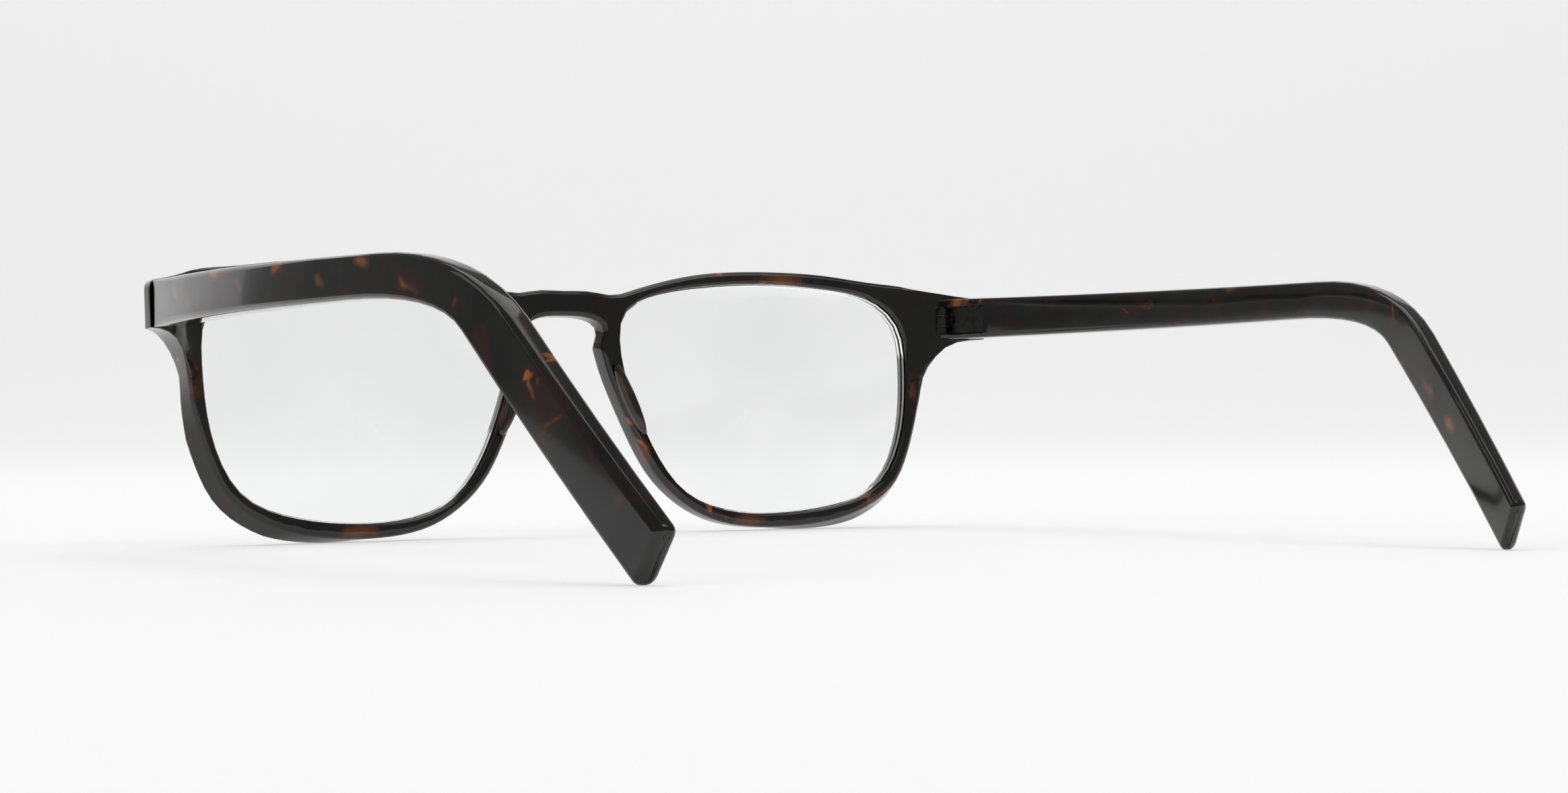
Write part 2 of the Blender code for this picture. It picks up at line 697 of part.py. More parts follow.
def stack_half():
    gaps = 2 * (WASHER_THICKNESS + 2 * WASHER_GAP)
    return (2 * OUTER_KNUCKLE_HEIGHT + MIDDLE_KNUCKLE_HEIGHT + gaps) / 2


def disc(centre, radius, low, high, sides=20):
    """An upright round bar about a place, between two heights measured from it."""
    turns = [2 * math.pi * k / sides for k in range(sides)]
    rings = []
    for height in (low, high):
        rings.append([centre + Vector((radius * math.cos(a), radius * math.sin(a), height)) for a in turns])
    return loft(rings)


def prism(centre, along, outward, outline, low, high):
    """A bar of any outline about a place. The outline's points lie along and outward."""
    rings = []
    for height in (low, high):
        rings.append([centre + along * a + outward * b + Vector((0, 0, height)) for a, b in outline])
    return loft(rings)


def hinge_frame(side):
    """The pin, the front's rear face direction and normal, and the temple's direction and normal."""
    pin = pin_place()
    face_along = Vector((math.cos(MITRE_ANGLE), math.sin(MITRE_ANGLE), 0.0))
    face_normal = Vector((-math.sin(MITRE_ANGLE), math.cos(MITRE_ANGLE), 0.0))
    bar_along = Vector((math.sin(TEMPLE_SPLAY), math.cos(TEMPLE_SPLAY), 0.0))
    bar_normal = Vector((-math.cos(TEMPLE_SPLAY), math.sin(TEMPLE_SPLAY), 0.0))
    flip = Vector((side, 1.0, 1.0))
    return [v * flip for v in (pin, face_along, face_normal, bar_along, bar_normal)]


def face_distance():
    """How far the pin stands behind the front's rear face, at the pin's height."""
    pin = pin_place()
    behind = pin.y - joint_y(pin.x, pin.z, 0.0)
    return behind * math.cos(MITRE_ANGLE) * math.cos(FRONT_LEAN)


def comb(start, end, top, tooth_places, gap=0.0, opening=0.0):
    """Outline of a leaf's plate with its teeth. A gap grows it, and an opening raises its top."""
    bottom = top - LEAF_THICKNESS - gap
    points = [(end + gap, top + opening), (start - gap, top + opening), (start - gap, bottom)]
    for place in tooth_places:
        low, high = place - TOOTH_WIDTH / 2 - gap, place + TOOTH_WIDTH / 2 + gap
        points += [(low, bottom), (low, bottom - TOOTH_DEPTH), (high, bottom - TOOTH_DEPTH), (high, bottom)]
    return points + [(end + gap, bottom)]


def front_comb(gap=0.0, opening=0.0):
    top = -face_distance() - LEAF_RECESS
    start = -KNUCKLE_RADIUS
    teeth = [start + share * FRONT_LEAF_LENGTH for share in TOOTH_SHARES]
    return comb(start, start + FRONT_LEAF_LENGTH, top, teeth, gap, opening)


def temple_comb(gap=0.0, opening=0.0):
    start = KNUCKLE_RADIUS + 2 * POCKET_GAP
    teeth = [start + share * TEMPLE_LEAF_LENGTH for share in TOOTH_SHARES]
    return comb(start, start + TEMPLE_LEAF_LENGTH, -PIN_INSET - TEMPLE_LEAF_RECESS, teeth, gap, opening)


def arc(radius, first, last, steps):
    turns = [math.radians(first + (last - first) * i / steps) for i in range(steps + 1)]
    return [(radius * math.cos(a), radius * math.sin(a)) for a in turns]


def knuckle_heights():
    """Heights of the lower, middle and upper knuckle about the pin's middle."""
    half = stack_half()
    middle = MIDDLE_KNUCKLE_HEIGHT / 2
    return ((-half, -half + OUTER_KNUCKLE_HEIGHT), (-middle, middle), (half - OUTER_KNUCKLE_HEIGHT, half))


def bore_leaf(leaf, pin, look):
    """Drills the knuckles for the screw."""
    bore = disc(pin, SCREW_RADIUS + SCREW_GAP, -2 * stack_half(), 2 * stack_half(), 16)
    cut(leaf, finish_object(f"{leaf.name}_bore", bore, look))


def build_front_leaf(name, side, look):
    """Leaf sunk into the front: plate, teeth and the two outer knuckles."""
    pin, along, normal, _, _ = hinge_frame(side)
    half = LEAF_HEIGHT / 2
    leaf = finish_object(name, prism(pin, along, normal, front_comb(), -half, half), look)
    foot = -face_distance() - LEAF_RECESS - LEAF_THICKNESS / 2
    outline = arc(KNUCKLE_RADIUS, -45, 225, 15)
    outline += [(outline[-1][0], foot), (outline[0][0], foot)]
    low, _, high = knuckle_heights()
    for tag, (bottom, top) in (("lower", low), ("upper", high)):
        knuckle = prism(pin, along, normal, outline, bottom, top)
        combine(leaf, finish_object(f"{name}_{tag}_knuckle", knuckle, look), "UNION")
    bore_leaf(leaf, pin, look)
    return leaf


def build_temple_leaf(name, side, look):
    """Leaf sunk into the temple: plate, teeth and the middle knuckle."""
    pin, _, _, along, normal = hinge_frame(side)
    half = LEAF_HEIGHT / 2
    leaf = finish_object(name, prism(pin, along, normal, temple_comb(), -half, half), look, pin)
    inner = -PIN_INSET / 2
    outer = -KNUCKLE_RADIUS + TEMPLE_LEAF_RECESS
    reach = KNUCKLE_RADIUS + 4 * POCKET_GAP
    first = math.degrees(math.asin(inner / KNUCKLE_RADIUS))
    last = 180 - math.degrees(math.asin(outer / KNUCKLE_RADIUS))
    outline = arc(KNUCKLE_RADIUS, first, last, 15) + [(reach, outer), (reach, inner)]
    _, (bottom, top), _ = knuckle_heights()
    knuckle = prism(pin, along, normal, outline, bottom, top)
    combine(leaf, finish_object(f"{name}_knuckle", knuckle, look), "UNION")
    bore_leaf(leaf, pin, look)
    return leaf


def build_washer(name, side, above, look):
    """A thin ring between two knuckles."""
    pin = hinge_frame(side)[0]
    low = MIDDLE_KNUCKLE_HEIGHT / 2 + WASHER_GAP
    span = (low, low + WASHER_THICKNESS) if above else (-low - WASHER_THICKNESS, -low)
    turns = [2 * math.pi * k / 20 for k in range(20)]
    body = bmesh.new()
    rings = []
    bore = SCREW_RADIUS + SCREW_GAP
    corners = ((bore, span[0]), (WASHER_RADIUS, span[0]), (WASHER_RADIUS, span[1]), (bore, span[1]))
    for radius, height in corners:
        places = [pin + Vector((radius * math.cos(a), radius * math.sin(a), height)) for a in turns]
        rings.append([body.verts.new(p) for p in places])
    for lower, upper in zip(rings, rings[1:] + rings[:1]):
        for i in range(20):
            j = (i + 1) % 20
            body.faces.new((lower[i], lower[j], upper[j], upper[i]))
    return finish_object(name, body, look)


def build_screw(name, side, look):
    """The screw that pins the knuckles, with its head above them."""
    pin = hinge_frame(side)[0]
    half = stack_half()
    profile = [(SCREW_RADIUS, -half), (SCREW_RADIUS, half + 0.05 * MM), (SCREW_HEAD_RADIUS, half + 0.05 * MM)]
    profile.append((SCREW_HEAD_RADIUS, half + SCREW_HEAD_HEIGHT))
    turns = [2 * math.pi * k / 16 for k in range(16)]
    rings = [[pin + Vector((r * math.cos(a), r * math.sin(a), h)) for a in turns] for r, h in profile]
    return finish_object(name, loft(rings), look)


def cut_hinge_room(front, temple, side, look):
    """Pockets for the leaves in the front and the temple, and a notch for the knuckles."""
    pin, face_along, face_normal, bar_along, bar_normal = hinge_frame(side)
    tall = LEAF_HEIGHT / 2 + POCKET_GAP
    half = stack_half()
    pocket = prism(pin, face_along, face_normal, front_comb(POCKET_GAP, 2 * LEAF_THICKNESS), -tall, tall)
    cut(front, finish_object(f"{front.name}_pocket_{temple.name}", pocket, look))
    pocket = prism(pin, bar_along, bar_normal, temple_comb(POCKET_GAP, 2 * LEAF_THICKNESS), -tall, tall)
    cut(temple, finish_object(f"{temple.name}_pocket", pocket, look))
    web = [(0.0, -KNUCKLE_RADIUS), (2 * KNUCKLE_RADIUS, -KNUCKLE_RADIUS)]
    web += [(2 * KNUCKLE_RADIUS, KNUCKLE_RADIUS), (0.0, KNUCKLE_RADIUS)]
    web_half = MIDDLE_KNUCKLE_HEIGHT / 2 + POCKET_GAP
    room = prism(pin, bar_along, bar_normal, web, -web_half, web_half)
    cut(temple, finish_object(f"{temple.name}_web_room", room, look))
    top = half + SCREW_HEAD_HEIGHT + POCKET_GAP
    notch = disc(pin, KNUCKLE_RADIUS + NOTCH_GAP, -half - POCKET_GAP, top)
    cut(temple, finish_object(f"{temple.name}_notch", notch, look))


# ---------------------------------------------------------------- nose pads


def pad_line(share):
    """A point of the nasal edge of the left rim's rear face, and the direction out of the rim there."""
    outline = lower_edge()[5:]
    path = spline(outline, 80)
    path = path[path[:, 0] < LENS_CENTRE]
    path = path[::-1]
    lengths = np.concatenate([[0.0], np.cumsum(np.hypot(*np.diff(path, axis=0).T))])
    wanted = PAD_START + share * PAD_LENGTH
    place = np.array([np.interp(wanted, lengths, path[:, k]) for k in (0, 1)])
    ahead = np.array([np.interp(wanted + 0.5 * MM, lengths, path[:, k]) for k in (0, 1)]) - place
    ahead /= np.hypot(*ahead)
    return place, np.array((-ahead[1], ahead[0]))


def pad_body(side):
    """A low cushion glued along the rim's nasal edge, widest at its middle."""
    count = 20
    turns = [2 * math.pi * k / count for k in range(count)]
    rings = []
    for swell, rise in ((1.0, 0.0), (1.0, 0.45), (0.86, 0.8), (0.55, 1.0)):
        ring = []
        for turn in turns:
            middle, across = pad_line(0.5 - 0.5 * swell * math.cos(turn))
            inward = PAD_EDGE_INSET + PAD_WIDTH / 2 + swell * math.sin(turn) * PAD_WIDTH / 2
            spot = middle + across * inward
            ring.append(front_point(side * spot[0], spot[1], -PAD_GLUE_GAP - rise * PAD_DEPTH))
        rings.append(ring)
    return loft(rings)


# ---------------------------------------------------------------- assembly


def stand_on_floor():
    """Lifts everything so that the lowest point rests at height zero, centred over its length."""
    bpy.context.view_layer.update()
    bodies = [obj for obj in bpy.data.objects if obj.name in ("frame_front", "temple_left")]
    corners = [obj.matrix_world @ v.co for obj in bodies for v in obj.data.vertices]
    lift = -min(p.z for p in corners)
    back = -(min(p.y for p in corners) + max(p.y for p in corners)) / 2
    for obj in bpy.data.objects:
        if obj.parent is None:
            obj.location += Vector((0.0, back, lift))


def main():
    clear_scene()
    acetate = material("tortoise_acetate", (0.028, 0.014, 0.007), 0.12)
    pad_look = material("pad_acetate", (0.03, 0.015, 0.008), 0.2)
    lens_look = material("clear_lens", (0.93, 0.95, 0.95), 0.02, alpha=0.15)
    steel = material("dark_steel", (0.06, 0.06, 0.065), 0.35, metallic=1.0)
    core_look = material("core_nickel", (0.5, 0.48, 0.44), 0.3, metallic=1.0)
    nylon = material("nylon_washer", (0.7, 0.7, 0.68), 0.5)
    front = build_front(acetate)
    for side, tag in ((1, "left"), (-1, "right")):
        cut(front, finish_object(f"groove_{tag}", lens_body(side, GROOVE_CLEARANCE), lens_look))
        finish_object(f"lens_{tag}", lens_body(side), lens_look)
        pin = hinge_frame(side)[0]
        temple = finish_object(f"temple_{tag}", temple_body(side), acetate, pin)
        channel = core_body(side, CORE_RADIUS + CORE_CLEARANCE, -3 * MM, CORE_CLEARANCE)
        cut(temple, finish_object(f"core_channel_{tag}", channel, core_look))
        cut_hinge_room(front, temple, side, steel)
        core = core_body(side, CORE_RADIUS, CORE_END_SETBACK, 0.0)
        finish_object(f"core_wire_{tag}", core, core_look, pin)
        build_front_leaf(f"front_hinge_leaf_{tag}", side, steel)
        build_temple_leaf(f"temple_hinge_leaf_{tag}", side, steel)
        build_screw(f"hinge_screw_{tag}", side, steel)
        build_washer(f"upper_washer_{tag}", side, True, nylon)
        build_washer(f"lower_washer_{tag}", side, False, nylon)
        finish_object(f"nose_pad_{tag}", pad_body(side), pad_look)
    stand_on_floor()


main()
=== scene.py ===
"""Studio scene of a pair of tortoise acetate eyeglasses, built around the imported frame.

Lengths are in metres, +Z is up, the wearer looks along -Y and +X is the wearer's left.
"""

import json
import logging
import math
from dataclasses import dataclass, field
from enum import Enum

import bmesh
import bpy
from mathutils import Euler, Matrix, Vector


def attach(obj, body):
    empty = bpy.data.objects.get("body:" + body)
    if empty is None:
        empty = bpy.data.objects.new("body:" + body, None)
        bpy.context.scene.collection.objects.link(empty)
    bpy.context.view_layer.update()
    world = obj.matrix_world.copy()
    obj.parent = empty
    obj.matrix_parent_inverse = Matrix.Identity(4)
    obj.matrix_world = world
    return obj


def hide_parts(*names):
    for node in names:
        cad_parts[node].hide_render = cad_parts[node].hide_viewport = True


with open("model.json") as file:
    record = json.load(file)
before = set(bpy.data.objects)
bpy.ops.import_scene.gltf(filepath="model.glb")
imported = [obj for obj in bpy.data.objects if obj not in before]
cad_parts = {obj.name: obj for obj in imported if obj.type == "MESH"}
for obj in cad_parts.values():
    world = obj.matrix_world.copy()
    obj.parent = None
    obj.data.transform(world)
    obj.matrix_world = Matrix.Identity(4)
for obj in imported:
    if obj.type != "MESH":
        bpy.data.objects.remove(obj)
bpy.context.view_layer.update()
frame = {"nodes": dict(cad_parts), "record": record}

LOG = logging.getLogger("eyeglasses")
MM = 0.001
Colour = tuple[float, float, float]
Span = tuple[float, float]
ACETATE_IOR = 1.48


class Side(Enum):
    """The wearer's left or right."""

    LEFT = 1
    RIGHT = -1

    @property
    def word(self) -> str:
        """The side as node names spell it."""
        return self.name.lower()


class Edge(Enum):
    """How a piece's edges are finished on the polishing wheel, as the sharpest angle left smooth."""

    TUMBLED = math.radians(38)
    TURNED = math.radians(32)


# ---------------------------------------------------------------- shader recipes


class Signal:
    """A shader socket that Python's operators work on. Each operator adds one Math node."""

    def __init__(self, recipe: "Recipe", socket: bpy.types.NodeSocket) -> None:
        """Wraps a socket of the recipe's tree."""
        self.recipe = recipe
        self.socket = socket

    def _maths(self, operation: str, *values: object) -> "Signal":
        """One Math node on these values."""
        made = self.recipe.add("ShaderNodeMath", {"operation": operation}, dict(enumerate(values)))
        return Signal(self.recipe, made.outputs[0])

    def __add__(self, other: object) -> "Signal":
        """self + other."""
        return self._maths("ADD", self, other)

    __radd__ = __add__

    def __sub__(self, other: object) -> "Signal":
        """self - other."""
        return self._maths("SUBTRACT", self, other)

    def __rsub__(self, other: object) -> "Signal":
        """other - self."""
        return self._maths("SUBTRACT", other, self)

    def __mul__(self, other: object) -> "Signal":
        """self * other."""
        return self._maths("MULTIPLY", self, other)

    __rmul__ = __mul__

    def larger(self, other: object) -> "Signal":
        """The larger of the two."""
        return self._maths("MAXIMUM", self, other)

    def fade(self, start: float, end: float, low: float = 0.0, high: float = 1.0) -> "Signal":
        """A smooth step from low to high while the signal goes from start to end.

        Args:
            start: Where the step begins.
            end: Where it ends.
            low: The value before the step.
            high: The value after it.

        Returns:
            The stepped signal.
        """
        values = {"Value": self, "From Min": start, "From Max": end, "To Min": low, "To Max": high}
        made = self.recipe.add("ShaderNodeMapRange", {"interpolation_type": "SMOOTHSTEP"}, values)
        return Signal(self.recipe, made.outputs[0])


class Recipe:
    """One material's node tree around one Principled shader."""

    def __init__(self, name: str) -> None:
        """Starts a material with an empty tree and its shader."""
        self.material = bpy.data.materials.new(name)
        self.material.use_nodes = True
        self.tree = self.material.node_tree
        self.tree.nodes.clear()
        self.shader = self.add("ShaderNodeBsdfPrincipled", {}, {})
        self.add("ShaderNodeOutputMaterial", {}, {"Surface": self.shader.outputs[0]})
        self.place = self.add("ShaderNodeTexCoord", {}, {}).outputs["Object"]

    def add(self, kind: str, settings: dict, values: dict) -> bpy.types.Node:
        """Adds a node.

        Args:
            kind: The node's type.
            settings: Its properties, set before its sockets.
            values: What goes into its sockets, by name or number.

        Returns:
            The node.
        """
        node = self.tree.nodes.new(kind)
        for name, value in settings.items():
            setattr(node, name, value)
        for name, value in values.items():
            self.feed(node.inputs[name], value)
        return node

    def feed(self, target: bpy.types.NodeSocket, value: object) -> None:
        """Links or sets one socket."""
        source = value.socket if isinstance(value, Signal) else value
        if isinstance(source, bpy.types.NodeSocket):
            self.tree.links.new(source, target)
        elif isinstance(source, tuple) and len(source) == 3 and target.type == "RGBA":
            target.default_value = (*source, 1.0)
        else:
            target.default_value = source

    def noise(self, size: float, detail: float = 2.0, bend: float = 0.0) -> Signal:
        """A soft noise with lumps of this size in metres."""
        values = {"Vector": self.place, "Scale": 1.0 / size, "Detail": detail, "Distortion": bend}
        return Signal(self, self.add("ShaderNodeTexNoise", {}, values).outputs[0])

    def shifted(self, offset: Vector, turn: Euler, stretch: Vector) -> bpy.types.NodeSocket:
        """The place in a frame moved by an offset, turned and then divided by a stretch."""
        moved = self.add("ShaderNodeVectorMath", {"operation": "SUBTRACT"}, {0: self.place, 1: offset})
        values = {"Vector": moved.outputs[0], "Rotation": turn}
        turned = self.add("ShaderNodeVectorRotate", {"rotation_type": "EULER_XYZ"}, values)
        scaled = self.add("ShaderNodeVectorMath", {"operation": "DIVIDE"}, {0: turned.outputs[0], 1: stretch})
        return scaled.outputs[0]

    def distance(self, vector: bpy.types.NodeSocket) -> Signal:
        """How long a vector is."""
        made = self.add("ShaderNodeVectorMath", {"operation": "LENGTH"}, {0: vector})
        return Signal(self, made.outputs["Value"])

    def mixed(self, share: Signal, first: object, second: object) -> bpy.types.NodeSocket:
        """A colour between two, by share."""
        made = self.add("ShaderNodeMix", {"data_type": "RGBA"}, {"Factor": share})
        colours = [s for s in made.inputs if s.type == "RGBA"]
        self.feed(colours[0], first)
        self.feed(colours[1], second)
        return [s for s in made.outputs if s.type == "RGBA"][0]

    def bump(self, height: Signal, depth: float) -> None:
        """Raises the surface by up to this depth in metres."""
        values = {"Height": height, "Distance": depth, "Strength": 1.0}
        made = self.add("ShaderNodeBump", {}, values)
        self.feed(self.shader.inputs["Normal"], made.outputs[0])

    def set(self, **values: object) -> None:
        """Sets or links the shader's own sockets, with _ for each space in their names."""
        for name, value in values.items():
            self.feed(self.shader.inputs[name.replace("_", " ")], value)


# ---------------------------------------------------------------- finishes

# How far a drop's edge wanders, and where it starts and is full, in its own half-sizes
DROP_RAGGEDNESS = 0.9
DROP_FADE = (1.25, 0.35)


@dataclass(frozen=True)
class Drop:
    """One lighter drop of acetate: its centre and half-sizes in millimetres, its slant and strength."""

    centre: tuple[float, float, float]
    half_size: tuple[float, float]
    slant: float = 0.0
    strength: float = 1.0


@dataclass(frozen=True)
class TortoiseAcetate:
    """Near-black tortoise sheet with amber drops, polished on the wheel."""

    name: str = "tortoise_acetate"
    dark: Colour = (0.0042, 0.0032, 0.0024)
    olive: Colour = (0.0075, 0.0078, 0.0040)
    wine: Colour = (0.020, 0.0042, 0.0022)
    rust: Colour = (0.090, 0.026, 0.008)
    amber: Colour = (0.32, 0.105, 0.022)
    cloud_size: float = 14 * MM
    drop_size: float = 7.5 * MM
    olive_span: Span = (0.40, 0.62)
    wine_span: Span = (0.52, 0.66)
    drop_share: Span = (0.645, 0.74)
    cloud_share: Span = (0.44, 0.56)
    rust_span: Span = (0.08, 0.55)
    amber_span: Span = (0.50, 1.0)
    ragged_size: float = 2.2 * MM
    smear_size: float = 9 * MM
    hairline_size: float = 0.35 * MM
    wave_size: float = 5 * MM
    drops: tuple[Drop, ...] = ()
    ripple: float = 0.006 * MM
    roughness: float = 0.09

    def material(self) -> bpy.types.Material:
        """Makes the material."""
        recipe = Recipe(self.name)
        clouds = recipe.noise(self.cloud_size, detail=3.0, bend=0.6)
        streaks = recipe.noise(self.drop_size, detail=2.0, bend=1.4)
        ground = recipe.mixed(clouds.fade(*self.olive_span), self.dark, self.olive)
        ground = recipe.mixed(streaks.fade(*self.wine_span), ground, self.wine)
        glow = streaks.fade(*self.drop_share) * clouds.fade(*self.cloud_share)
        ragged = recipe.noise(self.ragged_size) - 0.5
        for drop in self.drops:
            glow = glow.larger(self._placed(recipe, drop, ragged))
        colour = recipe.mixed(glow.fade(*self.rust_span), ground, self.rust)
        colour = recipe.mixed(glow.fade(*self.amber_span), colour, self.amber)
        smear = recipe.noise(self.smear_size, detail=4.0)
        hairlines = recipe.noise(self.hairline_size, detail=1.0)
        polish = smear.fade(0.3, 0.8, self.roughness * 0.7, self.roughness * 1.5)
        recipe.set(
            Base_Color=colour,
            Roughness=polish + hairlines * 0.02,
            Coat_Weight=smear.fade(0.2, 0.7, 0.1, 0.3),
            Coat_Roughness=0.03,
            IOR=ACETATE_IOR,
        )
        recipe.bump(recipe.noise(self.wave_size, detail=1.0) * 0.8 + hairlines * 0.05, self.ripple)
        return recipe.material

    @staticmethod
    def _placed(recipe: Recipe, drop: Drop, ragged: Signal) -> Signal:
        """A drop's strength, 1 in its middle and fading to 0 past its ragged edge."""
        along, across = (size * MM for size in drop.half_size)
        stretch = Vector((along, along, across))
        turn = Euler((math.radians(drop.slant), 0, 0))
        local = recipe.shifted(Vector(drop.centre) * MM, turn, stretch)
        reach = recipe.distance(local) + ragged * DROP_RAGGEDNESS
        return reach.fade(*DROP_FADE, 0.0, drop.strength)


@dataclass(frozen=True)
class PadAcetate:
    """The nose pads' smoky brown acetate, a little duller where it is buffed by hand."""

    name: str = "pad_acetate"
    base: Colour = (0.012, 0.0075, 0.0048)
    pale: Colour = (0.035, 0.020, 0.011)

    def material(self) -> bpy.types.Material:
        """Makes the material."""
        recipe = Recipe(self.name)
        clouds = recipe.noise(4 * MM, detail=2.0, bend=0.4)
        buffed = recipe.noise(0.5 * MM, detail=2.0)
        recipe.set(
            Base_Color=recipe.mixed(clouds.fade(0.4, 0.7), self.base, self.pale),
            Roughness=buffed.fade(0.3, 0.7, 0.14, 0.26),
            Coat_Weight=0.3,
            IOR=ACETATE_IOR,
        )
        recipe.bump(buffed, 0.004 * MM)
        return recipe.material


@dataclass(frozen=True)
class ClearLens:
    """Clear demonstration lens, very slightly grey, with a faint film of dust."""

    name: str = "clear_lens"
    clear: Colour = (0.985, 0.992, 0.988)
    film: Colour = (0.955, 0.962, 0.960)

    def material(self) -> bpy.types.Material:
        """Makes the material."""
        recipe = Recipe(self.name)
        dust = recipe.noise(12 * MM, detail=3.0)
        recipe.set(
            Base_Color=recipe.mixed(dust.fade(0.35, 0.75), self.clear, self.film),
            Roughness=dust.fade(0.4, 0.8, 0.0, 0.012),
            Transmission_Weight=1.0,
            IOR=1.42,
        )
        return recipe.material


@dataclass(frozen=True)
class Metal:
    """A small metal part, drawn or turned, with fine marks along its length."""

    name: str
    bright: Colour
    worn: Colour
    roughness: float

    def material(self) -> bpy.types.Material:
        """Makes the material."""
        recipe = Recipe(self.name)
        marks = recipe.noise(0.25 * MM, detail=3.0)
        patches = recipe.noise(1.6 * MM, detail=2.0)
        recipe.set(
            Base_Color=recipe.mixed(patches.fade(0.4, 0.7), self.bright, self.worn),
            Metallic=1.0,
            Roughness=marks.fade(0.3, 0.7, self.roughness * 0.75, self.roughness * 1.3),
        )
        recipe.bump(marks, 0.004 * MM)
        return recipe.material


@dataclass(frozen=True)
class NylonWasher:
    """Black moulded nylon."""

    name: str = "nylon_washer"
    base: Colour = (0.030, 0.029, 0.027)
    shade: Colour = (0.020, 0.019, 0.018)

    def material(self) -> bpy.types.Material:
        """Makes the material."""
        recipe = Recipe(self.name)
        mottle = recipe.noise(0.6 * MM, detail=2.0)
        recipe.set(
            Base_Color=recipe.mixed(mottle.fade(0.35, 0.7), self.base, self.shade),
            Roughness=mottle.fade(0.3, 0.7, 0.35, 0.5),
        )
        recipe.bump(mottle, 0.003 * MM)
        return recipe.material


# Drops of the left temple, the right temple and the front, where the sheet happened to be cut
LEFT_DROPS = (
    Drop((72, -46, 33.5), (1.0, 0.5), 60, 0.55),
    Drop((72, -38.5, 34.2), (1.8, 0.9), 20, 0.75),
    Drop((73, -31.5, 32.5), (1.6, 0.8), -30, 0.6),
    Drop((74, -19.5, 36.0), (3.2, 1.5), 10, 1.0),
    Drop((74, -10.5, 33.6), (1.6, 0.8), 40, 0.6),
    Drop((74, 1.5, 35.4), (2.4, 1.1), -15, 0.8),
    Drop((73, 12.5, 33.0), (1.8, 1.0), 30, 0.65),
    Drop((72, 22.0, 34.8), (2.2, 0.9), 10, 0.75),
    Drop((60, 63.5, 8.6), (3.8, 1.9), 45, 1.0),
    Drop((60, 58.0, 12.0), (1.4, 0.8), 30, 0.6),
    Drop((62, 52.0, 18.5), (1.6, 0.8), 40, 0.6),
)
RIGHT_DROPS = (
    Drop((-72, -30.0, 34.6), (2.4, 1.0), 10, 0.7),
    Drop((-72, -12.0, 33.8), (2.6, 1.3), -20, 0.9),
    Drop((-72, 6.0, 35.6), (3.0, 0.9), 0, 0.7),
    Drop((-71, 27.0, 34.0), (2.2, 1.0), 20, 0.6),
    Drop((-68, 44.0, 26.0), (2.4, 1.3), 45, 0.9),
    Drop((-66, 50.0, 20.5), (2.8, 1.2), 45, 0.8),
    Drop((-64, 55.0, 15.5), (2.0, 1.2), 45, 0.7),
)
FRONT_DROPS = (
    Drop((60.5, -58, 22.0), (2.2, 3.4), 0, 0.75),
    Drop((-60.0, -58, 22.5), (2.4, 4.2), 0, 1.0),
    Drop((11.0, -64, 17.0), (1.8, 2.8), 0, 0.7),
    Drop((-12.0, -64, 12.0), (2.0, 2.6), 0, 0.6),
    Drop((30.0, -64, 39.5), (4.0, 1.4), 0, 0.6),
    Drop((-38.0, -63, 39.5), (4.6, 1.5), 0, 0.65),
    Drop((36.0, -61, 1.6), (4.0, 1.2), 0, 0.6),
    Drop((-30.0, -61, 1.6), (3.6, 1.2), 0, 0.6),
)


# ---------------------------------------------------------------- pieces


@dataclass
class Workshop:
    """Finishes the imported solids: welds them, polishes their edges and dresses them."""

    weld: float = 0.0005 * MM
    flat_weight: int = 90
    slots: dict[str, str] = field(default_factory=dict)
    bodies: dict[str, str] = field(default_factory=dict)

    def __post_init__(self) -> None:
        """Reads which slot and body each node has from the record."""
        record = frame["record"]
        self.slots = {part["node"]: part["material_slot"] for part in record["subparts"]}
        for body, nodes in record["behaviour"]["bodies"].items():
            self.bodies.update({node: body for node in nodes})

    def finish(self, node: str, name: str, look: bpy.types.Material, edge: Edge) -> bpy.types.Object:
        """Makes the finished piece that stands for a node.

        Args:
            node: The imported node.
            name: The finished piece's name.
            look: Its material.
            edge: How its edges are polished.

        Returns:
            The finished piece, riding on the node's body.
        """
        mesh = frame["nodes"][node].data.copy()
        mesh.name = name
        mesh.materials.clear()
        mesh.materials.append(look)
        body = bmesh.new()
        body.from_mesh(mesh)
        bmesh.ops.remove_doubles(body, verts=body.verts, dist=self.weld)
        for face in body.faces:
            face.smooth = True
            face.material_index = 0
        for line in body.edges:
            line.smooth = line.calc_face_angle(math.pi) < edge.value
        body.to_mesh(mesh)
        body.free()
        if "custom_normal" in mesh.attributes:
            mesh.attributes.remove(mesh.attributes["custom_normal"])
        piece = bpy.data.objects.new(name, mesh)
        bpy.context.collection.objects.link(piece)
        flats = piece.modifiers.new("true_flats", "WEIGHTED_NORMAL")
        flats.keep_sharp = True
        flats.weight = self.flat_weight
        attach(piece, self.bodies[node])
        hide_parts(node)
        LOG.info("%s stands for %s on %s", name, node, self.bodies[node])
        return piece


@dataclass
class Front:
    """The acetate front with its lenses and nose pads."""

    acetate: TortoiseAcetate = TortoiseAcetate(drops=FRONT_DROPS)
    pad: PadAcetate = PadAcetate()
    lens: ClearLens = ClearLens()

    def build(self, shop: Workshop) -> None:
        """Finishes the front, the lenses and the pads."""
        shop.finish("frame_front", "polished_front", self.acetate.material(), Edge.TUMBLED)
        glass = self.lens.material()
        pad_look = self.pad.material()
        for side in Side:
            shop.finish(f"lens_{side.word}", f"polished_lens_{side.word}", glass, Edge.TURNED)
            shop.finish(f"nose_pad_{side.word}", f"buffed_pad_{side.word}", pad_look, Edge.TUMBLED)


